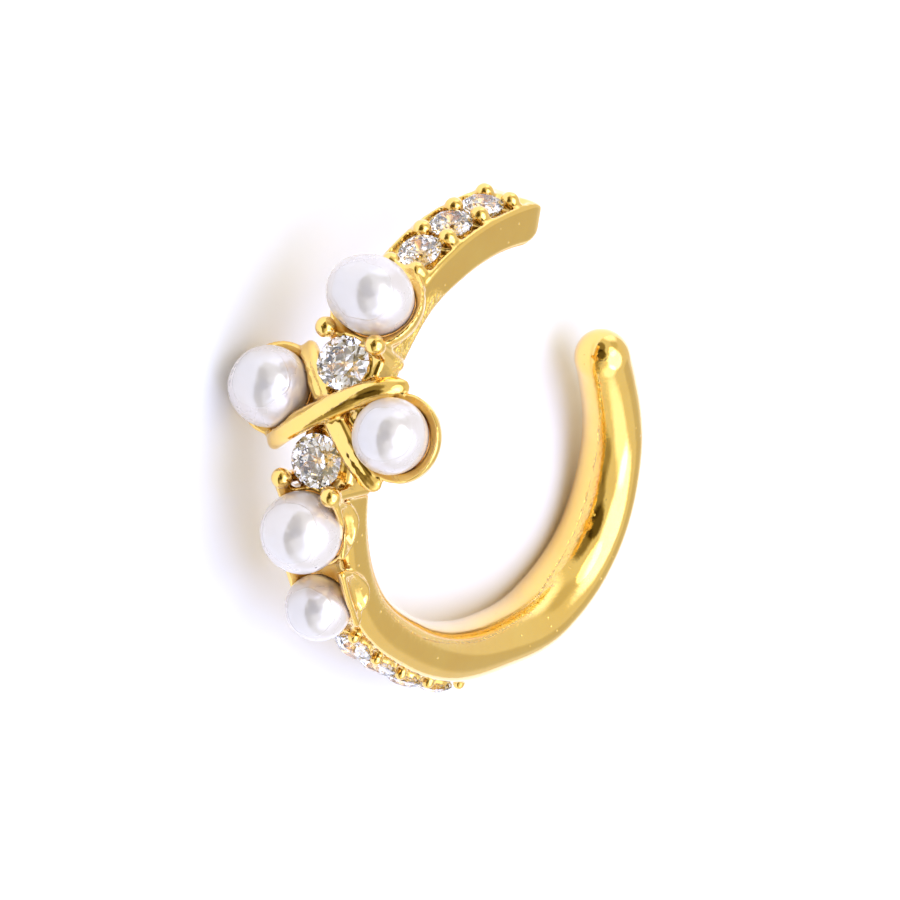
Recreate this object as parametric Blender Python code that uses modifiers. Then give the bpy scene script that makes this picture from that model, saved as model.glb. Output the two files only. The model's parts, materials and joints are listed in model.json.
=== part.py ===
"""Ear cuff: an open gold hoop with pearls, clear stones and crossed bands, lying on its side.

The cuff is modelled in its own frame and then laid down. Its frame has the hoop's centre as origin,
+Z along the hoop's axis, towards the side that ends up on top, -Y towards the crossed bands and -X
towards the arm set with stones. A place on the hoop is an angle, in degrees from -Y towards -X, a
reach, from the hoop's axis, and a side, along +Z.
"""

import math

import bmesh
import bpy
import numpy as np
from mathutils import Matrix, Vector

MM = 0.001

# Hoop
HOOP_RADIUS = 8.0 * MM
BAND_THICKNESS = 1.6 * MM
BAND_WIDTH = 2.06 * MM
TUBE_END = -220.5
TUBE_DOME = 0.95 * MM
ARM_TAIL = 1.7 * MM
ARM_BLUNT = 0.28 * MM
SECTION_STEP = 6.0
SECTION_SIDES = 16

# Channels that hold the small stones, and the room round whatever is set into the metal
RIM_WIDTH = 0.17 * MM
CHANNEL_DEPTH = 0.24 * MM
CHANNEL_TAIL = 1.25 * MM
CHANNEL_FADE = 4.0
CLEARANCE = 0.04 * MM

# Pearls
ROUND = (1.0, 1.0, 1.0)
TOP_PEARL_RADIUS = 1.4 * MM
TOP_PEARL_STRETCH = (0.91, 1.05, 1.0)
FAR_PEARL_RADIUS = 1.33 * MM
NEAR_PEARL_RADIUS = 1.23 * MM
LOWER_PEARL_RADIUS = 1.34 * MM
SMALL_PEARL_RADIUS = 1.1 * MM
TOP_PEARL_SINK = 0.72 * MM
LOWER_PEARL_SINK = 0.43 * MM
SMALL_PEARL_SINK = 0.54 * MM
SIDE_PEARL_GAP = 0.11 * MM
FAR_PEARL_AHEAD = 0.12 * MM
SIDE_PEARL_RISE = 0.26 * MM

# Dishes under the pearls, with the pegs that the pearls sit on
DISH_WALL = 0.16 * MM
DISH_LIP = 0.14 * MM
TOP_DISH_FLARE = 0.12 * MM
LOWER_DISH_FLARE = 0.14 * MM
SIDE_DISH_FLARE = 0.17 * MM
LOWER_DISH_SPREAD = 1.2
DISH_DROP = 0.5 * MM
PEG_RADIUS = 0.3 * MM
PEG_LENGTH = 0.8 * MM
SIDE_ARM_RADIUS = 0.42 * MM

# Stones
MOTIF_STONE_RADIUS = 0.87 * MM
ARM_STONE_RADIUS = 0.7 * MM
LOW_STONE_RADIUS = 0.67 * MM
MOTIF_STAND = 0.58 * MM
ARM_STAND = 0.16 * MM
LOW_STAND = 0.42 * MM
MOTIF_LEAN = 8.0
MOTIF_ASIDE = 0.1 * MM
STONE_FACETS = 8
ARM_STONES = 3
LOW_STONES = 4

# A stone's shape, and the collar under it, as shares of its radius
TABLE_REACH = 0.56
TABLE_HEIGHT = 0.32
STAR_REACH = 0.8
STAR_HEIGHT = 0.2
GIRDLE_HALF = 0.04
CULET_REACH = 0.02
CULET_DEPTH = 0.86
COLLAR_FOOT = 0.8
COLLAR_TOP = 0.93

# Room along the hoop between one setting and the next
CROSS_ROOM = 0.29 * MM
TOP_PEARL_ROOM = 0.04 * MM
LOWER_PEARL_ROOM = 0.15 * MM
SMALL_PEARL_ROOM = 0.75 * MM
ARM_START_ROOM = 0.42 * MM
LOW_START_ROOM = 1.05 * MM
ARM_STONE_ROOM = 0.28 * MM
LOW_STONE_ROOM = 0.44 * MM

# Crossed bands
CROSS_WIDTH = 0.78 * MM
CROSS_THICKNESS = 0.5 * MM
CROSS_SPAN = 1.84 * MM
CROSS_LEAN = 1.6 * MM
CROSS_RISE = 0.42 * MM
CROSS_UNDER = 0.3 * MM
CROSS_DROP = 0.18 * MM
CROSS_TIP = 0.66
CROSS_TIP_REACH = 0.17 * MM
CROSS_TIP_DROP = 0.2 * MM
CROSS_STEPS = 14
CROSS_SIDES = 12

# Ball-ended prongs beside the motif's stones, and bead prongs between the small stones
PRONG_BALL = 0.31 * MM
PRONG_POST = 0.2 * MM
PRONG_FOOT = 0.3 * MM
PRONG_ALONG = 0.82 * MM
PRONG_SIDE = 0.97 * MM
PRONG_RISE = 0.14 * MM
ARM_BEAD_RADIUS = 0.28 * MM
ARM_BEAD_RISE = 0.08 * MM
ARM_BEAD_SIDE = 0.48 * MM
LOW_BEAD_RADIUS = 0.2 * MM
LOW_BEAD_RISE = 0.2 * MM
LOW_BEAD_SIDE = 0.34 * MM

# How far a cutter passes through a face, and a joined piece into its neighbour
PASS = 0.05 * MM

# Densities, for the balance point
METAL_DENSITY = 8500.0
PEARL_DENSITY = 2700.0
STONE_DENSITY = 5700.0

# Sections of the hoop: reach, thick and width are shares of HOOP_RADIUS, BAND_THICKNESS and
# BAND_WIDTH. outer and inner say how square the two faces are, where 2 is round, and flank how far
# the side is flat, where 1 is not at all.
SECTION_COLUMNS = ("angle", "reach", "thick", "width", "outer", "inner", "flank")
SECTIONS = (
    (-222, 0.830, 1.16, 0.93, 2.0, 2.0, 1.00),
    (-205, 0.925, 1.20, 0.97, 2.0, 2.0, 1.00),
    (-185, 1.070, 1.26, 1.07, 2.0, 2.0, 1.00),
    (-165, 1.158, 1.30, 1.15, 2.0, 2.0, 1.00),
    (-145, 1.115, 1.33, 1.20, 2.0, 2.0, 1.00),
    (-125, 0.987, 1.22, 1.13, 2.2, 2.0, 1.00),
    (-105, 0.899, 1.17, 1.13, 4.0, 2.0, 1.03),
    (-80, 0.852, 1.10, 1.07, 6.0, 2.2, 1.05),
    (-50, 0.897, 1.06, 1.02, 6.0, 2.4, 1.06),
    (-20, 0.950, 1.00, 1.00, 6.0, 2.6, 1.06),
    (0, 0.995, 0.97, 1.00, 6.0, 2.8, 1.06),
    (20, 1.030, 0.95, 1.00, 8.0, 3.0, 1.06),
    (30, 1.043, 0.95, 1.00, 8.0, 3.0, 1.06),
    (44, 1.022, 1.02, 1.00, 8.0, 3.0, 1.06),
    (60, 0.995, 1.01, 1.00, 8.0, 3.0, 1.06),
    (71, 0.983, 1.01, 1.00, 8.0, 3.0, 1.06),
)


def clear_scene():
    for obj in list(bpy.data.objects):
        bpy.data.objects.remove(obj, do_unlink=True)


def new_collection(name, helpers=False):
    collection = bpy.data.collections.new(name)
    collection.hide_render = helpers
    bpy.context.scene.collection.children.link(collection)
    return collection


def material(name, colour, roughness, metallic, transmission=0.0):
    made = bpy.data.materials.new(name)
    made.use_nodes = True
    shader = made.node_tree.nodes["Principled BSDF"]
    shader.inputs["Base Color"].default_value = (*colour, 1.0)
    shader.inputs["Roughness"].default_value = roughness
    shader.inputs["Metallic"].default_value = metallic
    shader.inputs["Transmission Weight"].default_value = transmission
    return made


def section_at(angle):
    """The hoop's section at an angle, on a smooth curve through the table's rows."""
    rows = np.array(SECTIONS)
    knots = rows[:, 0]
    slopes = np.gradient(rows, knots, axis=0)
    i = int(np.clip(np.searchsorted(knots, angle) - 1, 0, len(knots) - 2))
    span = knots[i + 1] - knots[i]
    t = float(np.clip((angle - knots[i]) / span, 0.0, 1.0))
    blend = (
        (2 * t**3 - 3 * t**2 + 1) * rows[i]
        + (t**3 - 2 * t**2 + t) * span * slopes[i]
        + (3 * t**2 - 2 * t**3) * rows[i + 1]
        + (t**3 - t**2) * span * slopes[i + 1]
    )
    section = dict(zip(SECTION_COLUMNS, blend))
    section["reach"] *= HOOP_RADIUS
    section["thick"] *= BAND_THICKNESS
    section["width"] *= BAND_WIDTH
    return section


def outward(angle):
    turn = math.radians(angle)
    return Vector((-math.sin(turn), -math.cos(turn), 0.0))


def place(angle, reach, side=0.0):
    return outward(angle) * reach + Vector((0.0, 0.0, side))


def outer_reach(angle):
    section = section_at(angle)
    return section["reach"] + section["thick"] / 2


def frame_at(angle, reach, side=0.0, lean=0.0):
    """Axes at a place on the hoop: x along it, y along its axis and z outward, leant towards +Z."""
    z = outward(angle)
    y = Vector((0.0, 0.0, 1.0))
    axes = Matrix((y.cross(z), y, z)).transposed().to_4x4()
    tip = Matrix.Rotation(math.radians(-lean), 4, "X")
    return Matrix.Translation(place(angle, reach, side)) @ axes @ tip


def step_along(angle, distance, reach):
    return angle + math.degrees(distance / reach)


def spine(angle):
    """A point of the hoop's centre line, and the direction that faces outward square to that line."""
    near, here, far = (
        place(turn, section_at(turn)["reach"]) for turn in (angle - 1.0, angle, angle + 1.0)
    )
    along = (far - near).normalized()
    return here, Vector((-along.y, along.x, 0.0))


def add_object(name, mesh, matrix, collection):
    obj = bpy.data.objects.new(name, mesh)
    obj.matrix_world = matrix
    if collection.hide_render:
        obj.hide_render = True
        obj.display_type = "WIRE"
    collection.objects.link(obj)
    return obj


def object_from(name, shape, matrix, collection):
    """An object of this bmesh, shaded smooth but for its sharp edges."""
    mesh = bpy.data.meshes.new(name)
    shape.to_mesh(mesh)
    shape.free()
    mesh.shade_smooth()
    mesh.set_sharp_from_angle(angle=math.radians(35.0))
    return add_object(name, mesh, matrix, collection)


def loft(name, rings, collection):
    """A closed skin through rings of points, all with the same number of points."""
    shape = bmesh.new()
    made = [[shape.verts.new(point) for point in ring] for ring in rings]
    for first, second in zip(made, made[1:]):
        for i in range(len(first)):
            j = (i + 1) % len(first)
            shape.faces.new((first[i], first[j], second[j], second[i]))
    shape.faces.new(reversed(made[0]))
    shape.faces.new(made[-1])
    bmesh.ops.recalc_face_normals(shape, faces=shape.faces)
    return object_from(name, shape, Matrix(), collection)


def turned(name, profile, matrix, collection, segments=20):
    """A profile turned round local Z. It runs from the axis, down the outer side, to the axis."""
    mesh = bpy.data.meshes.new(name)
    edges = [(i, i + 1) for i in range(len(profile) - 1)]
    mesh.from_pydata([(x, 0.0, z) for x, z in profile], edges, [])
    obj = add_object(name, mesh, matrix, collection)
    screw = obj.modifiers.new("turn", "SCREW")
    screw.steps = segments
    screw.render_steps = segments
    screw.use_merge_vertices = True
    screw.merge_threshold = 0.001 * MM
    return obj


def ball(name, radius, matrix, collection, segments=16, rings=10, stretch=ROUND):
    shape = bmesh.new()
    bmesh.ops.create_uvsphere(shape, u_segments=segments, v_segments=rings, radius=radius)
    bmesh.ops.scale(shape, vec=stretch, verts=shape.verts)
    return object_from(name, shape, matrix, collection)


def rod(name, start, end, start_radius, end_radius, collection, sides=10):
    """A round post from one point to another."""
    along = end - start
    shape = bmesh.new()
    bmesh.ops.create_cone(
        shape,
        cap_ends=True,
        segments=sides,
        radius1=start_radius,
        radius2=end_radius,
        depth=along.length,
    )
    turn = along.to_track_quat("Z", "Y").to_matrix().to_4x4()
    return object_from(name, shape, Matrix.Translation((start + end) / 2) @ turn, collection)


def join(obj, label, operation, helpers, solver="EXACT"):
    """Adds a Boolean with an object, or with every object of a collection."""
    step = obj.modifiers.new(label, "BOOLEAN")
    step.operation = operation
    step.solver = solver
    if isinstance(helpers, bpy.types.Collection):
        step.operand_type = "COLLECTION"
        step.collection = helpers
    else:
        step.object = helpers


def oval_ring(angle, scale=1.0):
    """One section of the hoop, as points round a squared oval."""
    section = section_at(angle)
    centre, out = spine(angle)
    ring = []
    for k in range(SECTION_SIDES):
        turn = 2 * math.pi * k / SECTION_SIDES
        up, across = math.cos(turn), math.sin(turn)
        power = 2 / section["outer" if up > 0 else "inner"]
        reach = math.copysign(abs(up) ** power, up) * section["thick"] / 2
        flat = min(1.0, section["flank"] * abs(across) ** power)
        side = math.copysign(flat, across) * section["width"] / 2
        ring.append(centre + out * scale * reach + Vector((0.0, 0.0, scale * side)))
    return ring


def build_hoop(arm_end, collection):
    """The plain hoop, with a round dome at the tube's end and a blunt end on the arm."""
    dome = math.degrees(TUBE_DOME / section_at(TUBE_END)["reach"])
    blunt = math.degrees(ARM_BLUNT / section_at(arm_end)["reach"])
    start, end = TUBE_END + dome, arm_end - blunt
    rings = []
    for lift in (80, 60, 40, 20):
        turn = math.radians(lift)
        rings.append(oval_ring(start - dome * math.sin(turn), math.cos(turn)))
    count = round((end - start) / SECTION_STEP)
    rings += [oval_ring(start + (end - start) * k / count) for k in range(count + 1)]
    rings += [oval_ring(end + blunt * share, scale) for share, scale in ((0.6, 0.96), (0.95, 0.86))]
    return loft("cuff_body", rings, collection)


def cut_channel(name, start, end, collection):
    """A cutter that sinks a flat-floored channel between two rims, fading out at both ends."""
    count = round((end - start) / SECTION_STEP) + 2
    rings = []
    for k in range(count + 1):
        angle = start + (end - start) * k / count
        section = section_at(angle)
        centre, out = spine(angle)
        from_end = min(angle - start, end - angle)
        depth = CHANNEL_DEPTH * (0.05 + 0.95 * min(1.0, from_end / CHANNEL_FADE))
        half = section["width"] / 2 - RIM_WIDTH
        floor = section["thick"] / 2 - depth
        top = section["thick"] / 2 + CHANNEL_DEPTH
        corners = ((floor, -half), (floor, half), (top, half), (top, -half))
        rings.append([centre + out * lift + Vector((0.0, 0.0, side)) for lift, side in corners])
    loft(name, rings, collection)


def brilliant(name, radius, matrix, collection, grow=0.0):
    """A round brilliant, table outward, with its girdle at the frame's origin."""
    wide = radius + grow
    step = 2 * math.pi / STONE_FACETS
    rings = (
        (TABLE_REACH * radius + grow, TABLE_HEIGHT * radius + grow, 0.0, 1),
        (STAR_REACH * wide, STAR_HEIGHT * radius + grow, 0.5, 1),
        (wide, GIRDLE_HALF * radius, 0.0, 2),
        (wide, -GIRDLE_HALF * radius, 0.0, 2),
        (CULET_REACH * radius, -CULET_DEPTH * radius - 1.5 * grow, 0.0, 1),
    )
    shape = bmesh.new()
    for reach, height, offset, share in rings:
        for k in range(STONE_FACETS * share):
            turn = step * (k / share + offset)
            shape.verts.new((reach * math.cos(turn), reach * math.sin(turn), height))
    bmesh.ops.convex_hull(shape, input=shape.verts)
    inside = [vert for vert in shape.verts if not vert.link_faces]
    bmesh.ops.delete(shape, geom=inside, context="VERTS")
    bmesh.ops.recalc_face_normals(shape, faces=shape.faces)
    return object_from(name, shape, matrix, collection)


def set_stone(name, radius, stand, angle, groups, side=0.0, lean=0.0):
    """A stone whose table stands this far above the hoop, on a low collar, in its own seat."""
    girdle = outer_reach(angle) + stand - TABLE_HEIGHT * radius
    frame = frame_at(angle, girdle, side, lean)
    stone = brilliant(name, radius, frame, groups["parts"])
    brilliant("seat_of_" + name, radius, frame, groups["hollows"], CLEARANCE)
    foot = frame @ Vector((0.0, 0.0, -CHANNEL_DEPTH - stand - PASS))
    top = frame @ Vector((0.0, 0.0, -GIRDLE_HALF * radius))
    sizes = (COLLAR_FOOT * radius, COLLAR_TOP * radius)
    rod("collar_of_" + name, foot, top, *sizes, groups["castings"], 16)
    return stone


def build_dish(name, pearl, rim, spread, frame, groups):
    """A shallow dish under a pearl at the frame's origin, spread across the hoop."""
    drop = DISH_DROP
    floor = pearl + CLEARANCE
    deep = floor + DISH_WALL
    bowl = [(0.0, -drop), (rim, -drop), (rim, -drop - DISH_LIP)]
    hollow = [(0.0, PASS - drop), (rim - DISH_WALL, PASS - drop), (rim - DISH_WALL, -drop)]
    for degrees in (18, 36, 54, 72):
        across, down = math.cos(math.radians(degrees)), math.sin(math.radians(degrees))
        bowl.append((rim * across, -drop - DISH_LIP - (deep - drop - DISH_LIP) * down))
        hollow.append(((rim - DISH_WALL) * across, -drop - (floor - drop) * down))
    frame = frame @ Matrix.Diagonal((1.0, spread, 1.0, 1.0))
    turned("dish_of_" + name, bowl + [(0.0, -deep)], frame, groups["castings"])
    turned("hollow_of_" + name, hollow + [(0.0, -floor)], frame, groups["hollows"])


def set_pearl(name, radius, flare, frame, groups, stretch=ROUND, spread=1.0):
    """A pearl on a peg in its dish, drilled for the peg and clear of all the metal round it."""
    pearl = ball(name, radius, frame, groups["parts"], stretch=stretch)
    ball("room_for_" + name, radius + CLEARANCE, frame, groups["hollows"], stretch=stretch)
    build_dish(name, radius, radius * max(stretch) + flare, spread, frame, groups)
    foot = -radius - CLEARANCE - DISH_WALL / 2
    top = PEG_LENGTH - radius
    start, end = frame @ Vector((0.0, 0.0, foot)), frame @ Vector((0.0, 0.0, top))
    rod("peg_of_" + name, start, end, PEG_RADIUS, PEG_RADIUS, groups["pegs"])
    end = frame @ Vector((0.0, 0.0, top + CLEARANCE))
    wide = PEG_RADIUS + CLEARANCE
    join(pearl, "bore", "DIFFERENCE", rod("bore_of_" + name, start, end, wide, wide, groups["bores"]))
    return pearl


def build_cross_band(name, turn, rise, collection):
    """One of the crossed bands, arched over the hoop from side to side and leaning along it."""
    crest = outer_reach(0.0)
    places = []
    for k in range(CROSS_STEPS + 1):
        share = 2 * k / CROSS_STEPS - 1
        bend = abs(share) ** 3
        reach = crest + rise * (1 - bend) - CROSS_DROP * bend
        angle = step_along(0.0, turn * CROSS_LEAN * share, crest)
        places.append((place(angle, reach, CROSS_SPAN * share), 1.0))
    tips = []
    for end, inner in ((0, 1), (-1, -2)):
        along = (places[end][0] - places[inner][0]).normalized()
        point = places[end][0] + along * CROSS_TIP_REACH - outward(0.0) * CROSS_TIP_DROP
        tips.append((point, CROSS_TIP))
    places = [tips[0]] + places + [tips[1]]
    rings = []
    for k, (centre, size) in enumerate(places):
        before, after = places[max(k - 1, 0)][0], places[min(k + 1, len(places) - 1)][0]
        along = (after - before).normalized()
        across = along.cross(outward(0.0)).normalized() * size * CROSS_WIDTH / 2
        up = across.cross(along).normalized() * size * CROSS_THICKNESS / 2
        turns = [2 * math.pi * j / CROSS_SIDES for j in range(CROSS_SIDES)]
        rings.append([centre + across * math.cos(t) + up * math.sin(t) for t in turns])
    loft(name, rings, collection)


def build_prongs(name, stone_angle, direction, castings):
    """Two ball-ended prongs, one on each side of the hoop, just past a motif stone."""
    top = outer_reach(stone_angle) + MOTIF_STAND + PRONG_RISE
    angle = step_along(stone_angle, direction * PRONG_ALONG, top)
    for label, side in (("far", -1), ("near", 1)):
        tip = place(angle, top, side * PRONG_SIDE)
        foot = place(angle, outer_reach(angle) - PRONG_FOOT, side * (BAND_WIDTH / 2 - PRONG_POST / 2))
        rod(f"{name}_{label}_post", foot, tip, PRONG_FOOT, PRONG_POST, castings)
        ball(f"{name}_{label}_ball", PRONG_BALL, frame_at(angle, top, side * PRONG_SIDE), castings, 12, 8)


def build_beads(name, angles, radius, rise, side, castings):
    """Pairs of bead prongs across the hoop, between the small stones, drawn out to the channel's floor."""
    top = rise + radius
    foot = CHANNEL_DEPTH + PASS
    stretch = (1.0, 1.0, (top + foot) / (2 * radius))
    for i, angle in enumerate(angles, 1):
        reach = outer_reach(angle) + (top - foot) / 2
        for label, way in (("far", -1), ("near", 1)):
            frame = frame_at(angle, reach, way * side)
            ball(f"{name}_{i}_{label}", radius, frame, castings, 10, 6, stretch)


def row_of(first, pitch, count, reach):
    """Angles of a row of stones, and of the beads between and beyond them."""
    stones = [step_along(first, pitch * k, reach) for k in range(count)]
    beads = [step_along(first, pitch * (k - 0.5), reach) for k in range(count + 1)]
    return stones, beads


def lay_out():
    """Angles of all the settings, worked out from the crossed bands outwards both ways."""
    crest = outer_reach(0.0)
    from_cross = CROSS_WIDTH / 2 + CROSS_ROOM + MOTIF_STONE_RADIUS
    upper = step_along(0.0, from_cross, crest)
    lower = step_along(0.0, -from_cross, crest)
    top_half = TOP_PEARL_RADIUS * TOP_PEARL_STRETCH[0]
    top_reach = crest + MOTIF_STAND + TOP_PEARL_ROOM
    top = step_along(upper, MOTIF_STONE_RADIUS + TOP_PEARL_ROOM + top_half, top_reach)
    to_first = MOTIF_STONE_RADIUS + LOWER_PEARL_ROOM + LOWER_PEARL_RADIUS
    first = step_along(lower, -to_first, crest + MOTIF_STAND)
    between = LOWER_PEARL_RADIUS + SMALL_PEARL_ROOM + SMALL_PEARL_RADIUS
    second = step_along(first, -between, outer_reach(first) + SMALL_PEARL_SINK)
    arm_first = step_along(top, top_half + ARM_START_ROOM + ARM_STONE_RADIUS, outer_reach(top))
    arm_pitch = 2 * ARM_STONE_RADIUS + ARM_STONE_ROOM
    arm = row_of(arm_first, arm_pitch, ARM_STONES, outer_reach(arm_first))
    low_step = SMALL_PEARL_RADIUS + LOW_START_ROOM + LOW_STONE_RADIUS
    low_first = step_along(second, -low_step, outer_reach(second))
    low_pitch = 2 * LOW_STONE_RADIUS + LOW_STONE_ROOM
    low = row_of(low_first, -low_pitch, LOW_STONES, outer_reach(low_first))
    return {
        "upper": upper,
        "lower": lower,
        "top": top,
        "first": first,
        "second": second,
        "arm": arm,
        "low": low,
        "arm_end": step_along(arm[0][-1], ARM_TAIL, outer_reach(arm[0][-1])),
        "low_end": step_along(low[0][-1], -CHANNEL_TAIL, outer_reach(low[0][-1])),
    }


def build_all_pearls(layout, groups):
    rows = (
        ("pearl_lower_1", LOWER_PEARL_RADIUS, LOWER_PEARL_SINK, layout["first"]),
        ("pearl_lower_2", SMALL_PEARL_RADIUS, SMALL_PEARL_SINK, layout["second"]),
    )
    frame = frame_at(layout["top"], outer_reach(layout["top"]) + TOP_PEARL_RADIUS - TOP_PEARL_SINK)
    pearls = [set_pearl("pearl_top", TOP_PEARL_RADIUS, TOP_DISH_FLARE, frame, groups, TOP_PEARL_STRETCH)]
    for name, radius, sink, angle in rows:
        frame = frame_at(angle, outer_reach(angle) + radius - sink)
        pearls.append(set_pearl(name, radius, LOWER_DISH_FLARE, frame, groups, spread=LOWER_DISH_SPREAD))
    reach = outer_reach(0.0) + SIDE_PEARL_RISE
    rows = (
        ("pearl_far", FAR_PEARL_RADIUS, -1, FAR_PEARL_AHEAD),
        ("pearl_near", NEAR_PEARL_RADIUS, 1, 0.0),
    )
    for name, radius, way, ahead in rows:
        side = way * (BAND_WIDTH / 2 + SIDE_PEARL_GAP + radius)
        frame = frame_at(step_along(0.0, ahead, reach), reach, side)
        pearls.append(set_pearl(name, radius, SIDE_DISH_FLARE, frame, groups))
        root = place(0.0, section_at(0.0)["reach"], way * BAND_WIDTH / 4)
        under = place(0.0, reach - radius, side - way * radius / 4)
        rod("arm_of_" + name, root, under, SIDE_ARM_RADIUS, SIDE_ARM_RADIUS, groups["castings"], 12)
    return pearls


def build_all_stones(layout, groups):
    stones = []
    for label in ("upper", "lower"):
        size = (MOTIF_STONE_RADIUS, MOTIF_STAND, layout[label])
        stones.append(set_stone(f"stone_motif_{label}", *size, groups, -MOTIF_ASIDE, MOTIF_LEAN))
    rows = (
        ("stone_arm", ARM_STONE_RADIUS, ARM_STAND, layout["arm"][0]),
        ("stone_low", LOW_STONE_RADIUS, LOW_STAND, layout["low"][0]),
    )
    for name, radius, stand, angles in rows:
        for i, angle in enumerate(angles, 1):
            stones.append(set_stone(f"{name}_{i}", radius, stand, angle, groups))
    return stones


def build_body(layout, groups):
    """The metal: the hoop with its channels, and all that is cast or soldered onto it."""
    body = build_hoop(layout["arm_end"], groups["parts"])
    castings = groups["castings"]
    arm_stop = step_along(layout["arm_end"], -RIM_WIDTH - ARM_BLUNT, HOOP_RADIUS)
    cut_channel("arm_channel", layout["top"], arm_stop, groups["channels"])
    cut_channel("low_channel", layout["low_end"], layout["second"], groups["channels"])
    build_cross_band("cross_over", 1, CROSS_RISE, castings)
    build_cross_band("cross_under", -1, CROSS_RISE - CROSS_UNDER, castings)
    build_prongs("upper_prong", layout["upper"], 1, castings)
    build_prongs("lower_prong", layout["lower"], -1, castings)
    arm_size = (ARM_BEAD_RADIUS, ARM_BEAD_RISE, ARM_BEAD_SIDE)
    low_size = (LOW_BEAD_RADIUS, LOW_BEAD_RISE, LOW_BEAD_SIDE)
    build_beads("arm_bead", layout["arm"][1], *arm_size, castings)
    build_beads("low_bead", layout["low"][1], *low_size, castings)
    join(body, "channels", "DIFFERENCE", groups["channels"])
    join(body, "castings", "UNION", castings)
    join(body, "hollows", "DIFFERENCE", groups["hollows"], "MANIFOLD")
    join(body, "pegs", "UNION", groups["pegs"], "MANIFOLD")
    return body


def solid_points(obj, graph):
    """The object's points in the cuff's frame, its volume and its volume times its middle."""
    evaluated = obj.evaluated_get(graph)
    mesh = evaluated.to_mesh()
    mesh.calc_loop_triangles()
    matrix = np.array(obj.matrix_world)
    points = np.array([vert.co for vert in mesh.vertices]) @ matrix[:3, :3].T + matrix[:3, 3]
    corners = points[np.array([tri.vertices for tri in mesh.loop_triangles])]
    evaluated.to_mesh_clear()
    volumes = np.einsum("ij,ij->i", corners[:, 0], np.cross(corners[:, 1], corners[:, 2])) / 6
    return points, volumes.sum(), (corners.sum(axis=1) / 4 * volumes[:, None]).sum(axis=0)


def lay_down(parts, helpers):
    """Parents everything to an empty that rests the cuff on the floor, as it lies by itself."""
    bpy.context.view_layer.update()
    graph = bpy.context.evaluated_depsgraph_get()
    clouds, mass, moment = [], 0.0, np.zeros(3)
    for obj, density in parts:
        points, volume, middle = solid_points(obj, graph)
        clouds.append(points)
        mass += density * volume
        moment += density * middle
    points, balance = np.concatenate(clouds), Vector(moment / mass)
    hull = bmesh.new()
    for point in points:
        hull.verts.new(point)
    bmesh.ops.convex_hull(hull, input=hull.verts)
    hull.normal_update()
    facing_down = [face for face in hull.faces if face.normal.z < -0.9]
    floor = min(facing_down, key=lambda face: (face.verts[0].co - balance).dot(face.normal))
    turn = floor.normal.rotation_difference(Vector((0.0, 0.0, -1.0))).to_matrix()
    hull.free()
    laid = points @ np.array(turn).T
    low, high = laid.min(axis=0), laid.max(axis=0)
    rest = bpy.data.objects.new("cuff_rest", None)
    bpy.context.scene.collection.objects.link(rest)
    for obj in [obj for obj, _ in parts] + helpers:
        obj.parent = rest
    shift = Vector((-(low[0] + high[0]) / 2, -(low[1] + high[1]) / 2, -low[2]))
    rest.matrix_world = Matrix.Translation(shift) @ turn.to_4x4()


def main():
    clear_scene()
    groups = {"parts": new_collection("ear_cuff")}
    for name in ("channels", "castings", "hollows", "pegs", "bores"):
        groups[name] = new_collection(name, helpers=True)
    layout = lay_out()
    body = build_body(layout, groups)
    pearls = build_all_pearls(layout, groups)
    stones = build_all_stones(layout, groups)
    body.data.materials.append(material("gold", (0.95, 0.68, 0.25), 0.12, 1.0))
    for i, pearl in enumerate(pearls, 1):
        pearl.data.materials.append(material(f"pearl_{i}", (0.93, 0.89, 0.86), 0.18, 0.0))
    for i, stone in enumerate(stones, 1):
        stone.data.materials.append(material(f"stone_{i}", (0.96, 0.96, 0.98), 0.02, 0.0, 0.9))
    parts = [(body, METAL_DENSITY)]
    parts += [(pearl, PEARL_DENSITY) for pearl in pearls]
    parts += [(stone, STONE_DENSITY) for stone in stones]
    solids = {obj for obj, _ in parts}
    helpers = [obj for obj in bpy.data.objects if obj not in solids]
    lay_down(parts, helpers)


main()
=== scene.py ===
"""Looks of the ear cuff: cast and polished gold, nacre pearls and clear round brilliants.

Sizes are in millimetres, in the cuff's own frame. Its origin is the hoop's centre, +Z runs along the
hoop's axis towards the side that lies on top, -Y towards the crossed bands and -X towards the arm set
with stones. A place on the hoop is an angle, in degrees from -Y towards -X, a reach from the hoop's
axis and a side along +Z. The cuff lies tilted on the floor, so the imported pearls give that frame's
place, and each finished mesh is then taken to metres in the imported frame.
"""

import json
import math

import bmesh
import bpy
import numpy as np
from mathutils import Matrix, Vector, noise
from mathutils.bvhtree import BVHTree
from mathutils.kdtree import KDTree

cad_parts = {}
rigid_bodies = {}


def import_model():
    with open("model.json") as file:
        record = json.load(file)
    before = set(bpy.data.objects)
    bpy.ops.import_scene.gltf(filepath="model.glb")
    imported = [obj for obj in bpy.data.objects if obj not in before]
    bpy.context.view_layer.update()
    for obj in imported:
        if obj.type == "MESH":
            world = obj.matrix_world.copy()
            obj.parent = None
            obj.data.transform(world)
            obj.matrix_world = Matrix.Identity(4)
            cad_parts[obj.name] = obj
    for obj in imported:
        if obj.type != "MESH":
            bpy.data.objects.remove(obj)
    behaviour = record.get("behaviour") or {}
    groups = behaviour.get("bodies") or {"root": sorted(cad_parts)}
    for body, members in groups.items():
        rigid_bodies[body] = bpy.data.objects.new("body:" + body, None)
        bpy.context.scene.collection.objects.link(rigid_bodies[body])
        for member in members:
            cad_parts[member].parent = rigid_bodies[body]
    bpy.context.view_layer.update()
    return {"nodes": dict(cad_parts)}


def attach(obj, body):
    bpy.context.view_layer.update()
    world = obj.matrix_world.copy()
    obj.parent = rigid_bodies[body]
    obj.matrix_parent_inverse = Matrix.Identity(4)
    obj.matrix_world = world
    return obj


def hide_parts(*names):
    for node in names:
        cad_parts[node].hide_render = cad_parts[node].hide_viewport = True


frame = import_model()

MM = 0.001

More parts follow.
